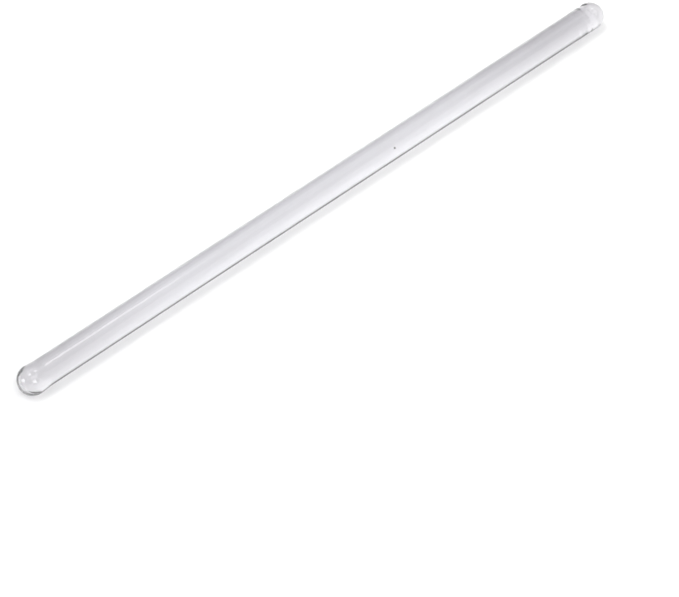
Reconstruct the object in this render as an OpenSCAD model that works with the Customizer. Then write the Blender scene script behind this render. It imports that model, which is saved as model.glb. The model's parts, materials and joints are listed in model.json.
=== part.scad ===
// Glass stirring rod: one solid length of round glass cane.
// It lies along X, centred on the origin. Each end has been melted round in a
// flame, which draws the glass back into a bead slightly wider than the shank.

/* [Rod] */
// Overall length, from the top of one end to the top of the other
rod_len = 200; // [100:1:400]
// Diameter of the straight shank
rod_d = 7; // [3:0.1:12]

/* [Melted ends] */
// How much wider a bead is than the shank, on the diameter
bead_swell = 0.4; // [0.1:0.05:1.5]
// Length over which a bead thins back to the shank
neck_len = 3.4; // [1:0.1:10]

/* [Hidden] */

// Segments of a circle
$fn = 128;

rod_r = rod_d / 2;
bead_r = rod_r + bead_swell / 2;
// The neck's outline is two arcs of one radius, tangent to each other halfway:
// the first leaves the bead's widest place, the second runs out onto the shank.
swell_h = bead_r - rod_r;
neck_arc_r = (neck_len * neck_len + swell_h * swell_h) / (4 * swell_h);
// Places along the axis, from the middle of the rod
bead_at = rod_len / 2 - bead_r;
neck_mid_at = bead_at - neck_len / 2;
neck_end_at = bead_at - neck_len;

// Glass that lies between two places along the axis, as wide as the bead
module slice(from, to) {
    translate([0, from])
        square([bead_r, to - from]);
}

// Half section of one end, from the shank to the top of the dome
module end_section() {
    // dome: a quarter circle
    intersection() {
        slice(bead_at, bead_at + bead_r);
        translate([0, bead_at])
            circle(r = bead_r);
    }
    // bead side of the neck: the outline bulges
    intersection() {
        slice(neck_mid_at, bead_at);
        translate([bead_r - neck_arc_r, bead_at])
            circle(r = neck_arc_r);
    }
    // shank side of the neck: the outline is hollow
    difference() {
        slice(neck_end_at, neck_mid_at);
        translate([rod_r + neck_arc_r, neck_end_at])
            circle(r = neck_arc_r);
    }
}

// The whole rod, turned about its axis
module rod() {
    color([0.86, 0.88, 0.89, 0.6])
        rotate([0, 90, 0])
            rotate_extrude() {
                translate([0, -neck_end_at])
                    square([rod_r, 2 * neck_end_at]);
                end_section();
                mirror([0, 1])
                    end_section();
            }
}

rod();
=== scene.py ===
"""Clear glass stirring rod lying on a white table, in a plain soft studio."""
import json
import math

import bpy
import numpy as np
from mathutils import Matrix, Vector


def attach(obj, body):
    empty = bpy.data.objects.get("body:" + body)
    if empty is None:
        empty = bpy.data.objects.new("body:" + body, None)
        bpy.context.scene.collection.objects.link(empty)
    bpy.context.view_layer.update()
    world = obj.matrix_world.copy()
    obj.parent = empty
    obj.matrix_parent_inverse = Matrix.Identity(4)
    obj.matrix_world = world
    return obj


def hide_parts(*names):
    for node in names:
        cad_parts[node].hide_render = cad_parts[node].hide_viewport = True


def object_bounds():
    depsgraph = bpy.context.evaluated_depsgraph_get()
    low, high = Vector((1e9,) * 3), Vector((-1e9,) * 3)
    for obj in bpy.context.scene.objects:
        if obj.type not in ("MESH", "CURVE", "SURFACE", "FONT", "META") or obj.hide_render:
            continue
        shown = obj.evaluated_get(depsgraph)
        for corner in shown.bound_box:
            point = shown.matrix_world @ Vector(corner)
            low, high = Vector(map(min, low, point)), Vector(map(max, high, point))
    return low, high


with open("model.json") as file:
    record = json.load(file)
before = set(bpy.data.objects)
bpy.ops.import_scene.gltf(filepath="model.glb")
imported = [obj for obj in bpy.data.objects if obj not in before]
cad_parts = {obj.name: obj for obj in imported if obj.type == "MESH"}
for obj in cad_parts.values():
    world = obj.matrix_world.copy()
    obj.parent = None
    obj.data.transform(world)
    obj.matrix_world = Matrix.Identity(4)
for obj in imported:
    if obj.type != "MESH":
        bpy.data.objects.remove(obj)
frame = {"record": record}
cad_low, cad_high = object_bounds()

MM = 0.001
shank = next(mount for mount in frame["record"]["mounts"] if mount["name"] == "shank")

# Sizes of the rod, worked out from the frame. The near end is at -X, the far end at +X.
ROD_LEN = cad_high.x - cad_low.x
BEAD_R = (cad_high.z - cad_low.z) / 2
ROD_R = shank["dims"]["r_mm"] * MM
SHANK_LEN = shank["dims"]["length_mm"] * MM
NECK_LEN = (ROD_LEN - SHANK_LEN) / 2 - BEAD_R
BEAD_AT = ROD_LEN / 2 - BEAD_R
NEAR_SWELL = BEAD_R - ROD_R
FAR_SWELL = NEAR_SWELL / 4
TABLE_Z = -BEAD_R

# The fold left where the far end melted in on one side. It lies FOLD_AT behind the
# bead's centre and reaches FOLD_HALF to either side of that.
FOLD_DEPTH = 0.4 * MM
FOLD_AT = 0.8 * MM
FOLD_HALF = 1.2 * MM
FOLD_TILT = 0.2 * MM
FOLD_TOWARD = math.radians(85)
FOLD_SIDE_POWER = 0.8

# Glass. Noise scales are in cycles a metre along X, Y and Z.
GLASS_IOR = 1.5
GLASS_ABSORBS = 3.0
MID_TINT = (0.96, 0.955, 0.985)
# The next two colours are painted shade: they grey the glass toward its two ends, the far end
# most, for the darker look the ends have in this light
END_PAINTED_SHADE = (0.88, 0.87, 0.895)
FAR_END_PAINTED_SHADE = (0.83, 0.82, 0.85)
# Places along X between which each end's painted shade fades
NEAR_PAINTED_SHADE_FROM = -97 * MM
NEAR_PAINTED_SHADE_TO = -45 * MM
FAR_PAINTED_SHADE_FROM = 35 * MM
FAR_PAINTED_SHADE_TO = 95 * MM
# Length over which the far cap's painted shade fades in
CAP_FADE = 1.2 * MM
STREAK_SCALE = (9, 700, 700)
STREAK_NOISE = (0.35, 0.65)
STREAK_DARKEST = 0.975
FLECK_TINT = (0.15, 0.14, 0.13)
FLECK_PLACE = Vector((21.3, -2.9, 1.95)) * MM
FLECK_R = 0.32 * MM
FLECK_INNER = 0.6 * FLECK_R
FLECK_OUTER = 1.2 * FLECK_R
LINES_SCALE = (6, 600, 600)
WAVES_SCALE = (60, 90, 90)
WAVES_HEIGHT = 2.0
BUMP_HEIGHT = 0.0006 * MM
SMUDGE_SCALE = (50, 200, 200)
SMUDGE_NOISE = (0.5, 0.75)
SMUDGE_ROUGHNESS = 0.02

# Table
TABLE_HALF = 30.0
TABLE_WHITE = (0.90, 0.90, 0.90)
# Painted shade: the table colour greys toward -X, the front left, as if less light reached
# there. It fades in between the two places below and is broken up by the clouds
TABLE_PAINTED_SHADE = (0.86, 0.86, 0.868)
TABLE_PAINTED_SHADE_FROM = -0.15
TABLE_PAINTED_SHADE_TO = 0.05
CLOUDS_SCALE = (8, 8, 8)
CLOUDS_NOISE = (0.3, 0.7)
CLOUDS_LEAST = 0.6
TABLE_ROUGHNESS = 0.9
TABLE_SPECULAR = 0.2
GRAIN_SCALE = (2000, 2000, 2000)
GRAIN_HEIGHT = 0.01 * MM

# Camera
ELEVATION = math.radians(40.33)
AZIMUTH = math.radians(-46.177)
CAMERA_AIM = Vector((-23.899, -27.702, -3.7)) * MM
CAMERA_DISTANCE = 1.00427
LENS_MM = 226.81
SENSOR_WIDTH_MM = 36.0
NEAREST_SEEN = 0.01
FARTHEST_SEEN = 100

# Light bounces
GLASS_BOUNCES = 128
MATT_BOUNCES = 8

# The studio round the table: white everywhere, with these fields in it. Each has
# its height above the table (lowest, highest, soft edge) and its bearing from +X
# toward +Y (middle, half width, soft edge), all in degrees, and its brightness.
# A field that goes past 90 degrees high takes in the point overhead, and one with
# a half width over 180 goes all the way round.
SURROUNDINGS = {
    "dim_ceiling": ((66, 120, 8), (0, 200, 10), 0.6),
    "high_softbox_behind": ((54, 76, 6), (90, 68, 20), 2.0),
    "grey_wall_behind": ((14, 48, 6), (118, 36, 16), 0.5),
    "gap_behind": ((12, 50, 3), (47, 32, 10), 0.0),
    "softbox_in_front": ((43, 68, 8), (-100, 54, 24), 3.0),
    "gap_in_front": ((32, 52, 4), (-42, 28, 10), 0.1),
    "low_gap_in_front": ((8, 34, 5), (-120, 50, 14), 0.1),
    "low_lamp_left": ((3, 23, 5), (157, 12, 4), 8.5),
    "low_lamp_front": ((16, 38, 5), (-113, 14, 4), 8.5),
}
# Panels overhead, on a ceiling one unit up: range along X, range along Y, soft
# edge, and the brightness that each adds.
CEILING = {
    "strip_lamp": ((0.36, 0.62), (-0.12, 0.12), 0.06, 5.0),
    "square_lamp": ((-0.48, -0.18), (-0.07, 0.23), 0.07, 9.0),
}
STUDIO_LEVEL = 0.86
# Least upward slope taken when a direction is followed up to the ceiling
LEAST_UP = 0.001


# Node helpers

def plug(tree, value, socket):
    """Put a socket's signal, or a plain value, into an input."""
    if isinstance(value, bpy.types.NodeSocket):
        tree.links.new(value, socket)
    else:
        socket.default_value = value


def maths(tree, operation, *values):
    """The result of one Math node on signals and numbers."""
    node = tree.nodes.new("ShaderNodeMath")
    node.operation = operation
    for value, socket in zip(values, node.inputs):
        plug(tree, value, socket)
    return node.outputs[0]


def ramp(tree, value, start, end, low=0.0, high=1.0):
    """A smooth step from low to high as the value goes from start to end."""
    node = tree.nodes.new("ShaderNodeMapRange")
    node.interpolation_type = "SMOOTHSTEP"
    plug(tree, value, node.inputs["Value"])
    node.inputs["From Min"].default_value = start
    node.inputs["From Max"].default_value = end
    node.inputs["To Min"].default_value = low
    node.inputs["To Max"].default_value = high
    return node.outputs[0]


def between(tree, value, low, high, soft):
    """1 between low and high, 0 outside them, with edges of the given width."""
    rise = ramp(tree, value, low - soft / 2, low + soft / 2)
    fall = ramp(tree, value, high - soft / 2, high + soft / 2, 1.0, 0.0)
    return maths(tree, "MULTIPLY", rise, fall)


def blend(tree, factor, first, second, kind="FLOAT"):
    """The first value where the factor is 0, the second where it is 1."""
    node = tree.nodes.new("ShaderNodeMix")
    node.data_type = kind
    at, out = {"FLOAT": (2, 0), "RGBA": (6, 2)}[kind]
    plug(tree, factor, node.inputs[0])
    plug(tree, first, node.inputs[at])
    plug(tree, second, node.inputs[at + 1])
    return node.outputs[out]


def stretched_noise(tree, place, scale, detail):
    """Noise whose scale, in cycles a metre, differs along X, Y and Z."""
    mapping = tree.nodes.new("ShaderNodeMapping")
    mapping.inputs["Scale"].default_value = scale
    tree.links.new(place, mapping.inputs["Vector"])
    noise = tree.nodes.new("ShaderNodeTexNoise")
    noise.inputs["Scale"].default_value = 1.0
    noise.inputs["Detail"].default_value = detail
    tree.links.new(mapping.outputs["Vector"], noise.inputs["Vector"])
    return noise.outputs["Fac"]


# The rod

def end_outline(swell, steps_dome=48, steps_neck=44):
    """Distance from the bead's centre toward the shank, and radius, from the pole
    to the shank. The dome is a quarter of an ellipse, and the neck eases from
    bead to shank by the smooth curve t cubed times (10 - 15 t + 6 t squared)."""
    turn = np.linspace(0, math.pi / 2, steps_dome + 1)
    t = np.linspace(0, 1, steps_neck + 1)[1:]
    eased = t ** 3 * (10 - 15 * t + 6 * t ** 2)
    along = np.concatenate([-BEAD_R * np.cos(turn), NECK_LEN * t])
    radius = np.concatenate([(ROD_R + swell) * np.sin(turn), ROD_R + swell * (1 - eased)])
    return along, radius


def rod_outline(steps_shank=64):
    """Place along X and radius of the whole outline, from far pole to near pole."""
    far_along, far_r = end_outline(FAR_SWELL)
    near_along, near_r = end_outline(NEAR_SWELL)
    shank_x = np.linspace(SHANK_LEN / 2, -SHANK_LEN / 2, steps_shank + 1)[1:-1]
    x = np.concatenate([BEAD_AT - far_along, shank_x, near_along[::-1] - BEAD_AT])
    radius = np.concatenate([far_r, np.full(len(shank_x), ROD_R), near_r[::-1]])
    return x, radius


def fold_cut(x, angle):
    """How far the surface is drawn in at the far end: a raised cosine along the
    rod, which leans a little, times a power of a raised cosine round it."""
    turn = angle - FOLD_TOWARD
    along = BEAD_AT - x - FOLD_TILT * np.cos(turn) - FOLD_AT
    dip = np.where(np.abs(along) < FOLD_HALF, (1 + np.cos(math.pi * along / FOLD_HALF)) / 2, 0)
    side = ((1 + np.cos(turn)) / 2) ** FOLD_SIDE_POWER
    return FOLD_DEPTH * dip * side


def closed_mesh(name, grid):
    """A closed surface from rings of points, each pole a single vertex."""
    rings, around, _ = grid.shape
    verts = np.vstack([grid[0, :1], grid[1:-1].reshape(-1, 3), grid[-1, :1]])
    ring = 1 + np.arange((rings - 2) * around).reshape(rings - 2, around)
    beside = np.roll(ring, -1, axis=1)
    quads = np.stack([ring[:-1], ring[1:], beside[1:], beside[:-1]], axis=-1).reshape(-1, 4)
    first, last = np.zeros(around, int), np.full(around, len(verts) - 1)
    first_cap = np.stack([first, ring[0], beside[0]], axis=-1)
    last_cap = np.stack([last, beside[-1], ring[-1]], axis=-1)
    mesh = bpy.data.meshes.new(name)
    mesh.from_pydata(verts.tolist(), [], first_cap.tolist() + quads.tolist() + last_cap.tolist())
    mesh.shade_smooth()
    mesh.update()
    piece = bpy.data.objects.new(name, mesh)
    bpy.context.scene.collection.objects.link(piece)
    return piece


def make_rod(around=288):
    """The rod: its outline turned about X, drawn in at the fold."""
    x, radius = rod_outline()
    angle = np.linspace(0, 2 * math.pi, around, endpoint=False)
    reach = radius[:, None] - fold_cut(x[:, None], angle[None, :])
    reach[[0, -1]] = 0
    along = np.broadcast_to(x[:, None], reach.shape)
    grid = np.stack([along, reach * np.cos(angle), reach * np.sin(angle)], axis=-1)
    return closed_mesh("glass_rod", grid)


def glass_colour(tree, place):
    """Clear along the middle, with painted shade that greys the glass toward the two flamed
    ends, most at the far end, and paints the far cap a little lighter than the end behind it;
    faint lengthwise streaks from drawing the rod and one dark fleck on the surface."""
    split = tree.nodes.new("ShaderNodeSeparateXYZ")
    tree.links.new(place, split.inputs[0])
    x = split.outputs["X"]
    # Painted shade: the glass greys toward both ends, the far end most
    near = ramp(tree, x, NEAR_PAINTED_SHADE_FROM, NEAR_PAINTED_SHADE_TO, 1.0, 0.0)
    far = ramp(tree, x, FAR_PAINTED_SHADE_FROM, FAR_PAINTED_SHADE_TO)
    colour = blend(tree, near, (*MID_TINT, 1), (*END_PAINTED_SHADE, 1), "RGBA")
    colour = blend(tree, far, colour, (*FAR_END_PAINTED_SHADE, 1), "RGBA")
    # Painted shade on the far cap, a little lighter than the far end behind it
    cap = ramp(tree, x, BEAD_AT, BEAD_AT + CAP_FADE)
    colour = blend(tree, cap, colour, (*END_PAINTED_SHADE, 1), "RGBA")
    streaks = stretched_noise(tree, place, STREAK_SCALE, 2.0)
    streaks = ramp(tree, streaks, *STREAK_NOISE, STREAK_DARKEST, 1.0)
    tint = tree.nodes.new("ShaderNodeVectorMath")
    tint.operation = "SCALE"
    plug(tree, colour, tint.inputs[0])
    plug(tree, streaks, tint.inputs["Scale"])
    away = tree.nodes.new("ShaderNodeVectorMath")
    away.operation = "DISTANCE"
    plug(tree, place, away.inputs[0])
    away.inputs[1].default_value = FLECK_PLACE
    fleck = ramp(tree, away.outputs["Value"], FLECK_INNER, FLECK_OUTER, 1.0, 0.0)
    return blend(tree, fleck, tint.outputs["Vector"], (*FLECK_TINT, 1), "RGBA")


def glass_bump(tree, place):
    """Draw lines along the rod and a slow waviness, both a few ten-thousandths
    of a millimetre high."""
    lines = stretched_noise(tree, place, LINES_SCALE, 2.0)
    waves = stretched_noise(tree, place, WAVES_SCALE, 1.0)
    waves = maths(tree, "MULTIPLY", waves, WAVES_HEIGHT)
    bump = tree.nodes.new("ShaderNodeBump")
    bump.inputs["Strength"].default_value = 1.0
    bump.inputs["Distance"].default_value = BUMP_HEIGHT
    plug(tree, maths(tree, "ADD", lines, waves), bump.inputs["Height"])
    return bump.outputs["Normal"]


def clear_glass():
    """Clear glass, greyed by its own thickness only along very long paths."""
    material = bpy.data.materials.new("clear_glass")
    material.use_nodes = True
    tree = material.node_tree
    place = tree.nodes.new("ShaderNodeTexCoord").outputs["Object"]
    shader = tree.nodes["Principled BSDF"]
    shader.inputs["Transmission Weight"].default_value = 1.0
    shader.inputs["IOR"].default_value = GLASS_IOR
    smudges = stretched_noise(tree, place, SMUDGE_SCALE, 3.0)
    smudges = ramp(tree, smudges, *SMUDGE_NOISE, 0.0, SMUDGE_ROUGHNESS)
    plug(tree, smudges, shader.inputs["Roughness"])
    plug(tree, glass_colour(tree, place), shader.inputs["Base Color"])
    plug(tree, glass_bump(tree, place), shader.inputs["Normal"])
    absorption = tree.nodes.new("ShaderNodeVolumeAbsorption")
    absorption.inputs["Color"].default_value = (0, 0, 0, 1)
    absorption.inputs["Density"].default_value = GLASS_ABSORBS
    plug(tree, absorption.outputs["Volume"], tree.nodes["Material Output"].inputs["Volume"])
    return material


# The studio

def white_table():
    """Matt white table top with a fine paper grain, and painted shade that darkens it a little
    toward -X, broken up by cloudy noise.
    """
    material = bpy.data.materials.new("white_table")
    material.use_nodes = True
    tree = material.node_tree
    place = tree.nodes.new("ShaderNodeTexCoord").outputs["Object"]
    shader = tree.nodes["Principled BSDF"]
    shader.inputs["Roughness"].default_value = TABLE_ROUGHNESS
    shader.inputs["Specular IOR Level"].default_value = TABLE_SPECULAR
    split = tree.nodes.new("ShaderNodeSeparateXYZ")
    tree.links.new(place, split.inputs[0])
    clouds = stretched_noise(tree, place, CLOUDS_SCALE, 2.0)
    clouds = ramp(tree, clouds, *CLOUDS_NOISE, CLOUDS_LEAST, 1.0)
    # Painted shade toward -X, broken up by the clouds
    front_shade = ramp(tree, split.outputs["X"], TABLE_PAINTED_SHADE_FROM, TABLE_PAINTED_SHADE_TO, 1.0, 0.0)
    grey = maths(tree, "MULTIPLY", front_shade, clouds)
    colour = blend(tree, grey, (*TABLE_WHITE, 1), (*TABLE_PAINTED_SHADE, 1), "RGBA")
    plug(tree, colour, shader.inputs["Base Color"])
    bump = tree.nodes.new("ShaderNodeBump")
    bump.inputs["Distance"].default_value = GRAIN_HEIGHT
    plug(tree, stretched_noise(tree, place, GRAIN_SCALE, 2.0), bump.inputs["Height"])
    plug(tree, bump.outputs["Normal"], shader.inputs["Normal"])
    return material


def make_table():
    """The table top: one flat square, so wide that its edge looks like the horizon."""
    mesh = bpy.data.meshes.new("table")
    sides = ((-1, -1), (1, -1), (1, 1), (-1, 1))
    corners = [(x * TABLE_HALF, y * TABLE_HALF, TABLE_Z) for x, y in sides]
    mesh.from_pydata(corners, [], [(0, 1, 2, 3)])
    mesh.materials.append(white_table())
    table = bpy.data.objects.new("table", mesh)
    bpy.context.scene.collection.objects.link(table)


def studio_light(tree):
    """Brightness of the studio by direction: the fields of SURROUNDINGS take the
    place of the white, and the panels of CEILING are added to it."""
    split = tree.nodes.new("ShaderNodeSeparateXYZ")
    tree.links.new(tree.nodes.new("ShaderNodeTexCoord").outputs["Generated"], split.inputs[0])
    x, y, z = split.outputs
    height = maths(tree, "DEGREES", maths(tree, "ARCSINE", z))
    bearing = maths(tree, "DEGREES", maths(tree, "ARCTAN2", y, x))
    light = 1.0
    for (lowest, highest, soft), (middle, half, side_soft), brightness in SURROUNDINGS.values():
        turned = maths(tree, "WRAP", maths(tree, "SUBTRACT", bearing, middle), 180, -180)
        turned = maths(tree, "ABSOLUTE", turned)
        aside = ramp(tree, turned, half - side_soft / 2, half + side_soft / 2, 1.0, 0.0)
        field = maths(tree, "MULTIPLY", between(tree, height, lowest, highest, soft), aside)
        light = blend(tree, field, light, brightness)
    above = maths(tree, "MAXIMUM", z, LEAST_UP)
    ceiling_x = maths(tree, "DIVIDE", x, above)
    ceiling_y = maths(tree, "DIVIDE", y, above)
    for (x_low, x_high), (y_low, y_high), soft, brightness in CEILING.values():
        across = between(tree, ceiling_y, y_low, y_high, soft)
        panel = maths(tree, "MULTIPLY", between(tree, ceiling_x, x_low, x_high, soft), across)
        light = maths(tree, "MULTIPLY_ADD", panel, brightness, light)
    return maths(tree, "MULTIPLY", light, STUDIO_LEVEL)


def make_studio():
    """World light, with a plain white backdrop where the camera looks at it directly."""
    world = bpy.data.worlds.new("studio")
    bpy.context.scene.world = world
    world.use_nodes = True
    tree = world.node_tree
    background = tree.nodes["Background"]
    background.inputs["Color"].default_value = (1, 1, 1, 1)
    seen = tree.nodes.new("ShaderNodeLightPath").outputs["Is Camera Ray"]
    plug(tree, blend(tree, seen, studio_light(tree), 1.0), background.inputs["Strength"])


def set_camera():
    """A long lens that looks down at the rod from beyond its near end."""
    across = math.cos(ELEVATION)
    back = Vector((math.sin(AZIMUTH) * across, -math.cos(AZIMUTH) * across, math.sin(ELEVATION)))
    data = bpy.data.cameras.new("camera")
    data.sensor_width = SENSOR_WIDTH_MM
    data.lens = LENS_MM
    data.clip_start = NEAREST_SEEN
    data.clip_end = FARTHEST_SEEN
    camera = bpy.data.objects.new("camera", data)
    camera.location = CAMERA_AIM + back * CAMERA_DISTANCE
    camera.rotation_mode = "QUATERNION"
    camera.rotation_quaternion = (-back).to_track_quat("-Z", "Y")
    bpy.context.scene.collection.objects.link(camera)
    bpy.context.scene.camera = camera


def set_light_paths():
    """Enough bounces for light that runs the length of the glass."""
    cycles = bpy.context.scene.cycles
    cycles.max_bounces = GLASS_BOUNCES
    cycles.transmission_bounces = GLASS_BOUNCES
    cycles.glossy_bounces = GLASS_BOUNCES
    cycles.diffuse_bounces = MATT_BOUNCES


set_camera()
rod = make_rod()
rod.data.materials.append(clear_glass())
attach(rod, "root")
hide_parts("rod")
make_table()
make_studio()
set_light_paths()
bpy.context.scene.view_settings.view_transform = "Standard"
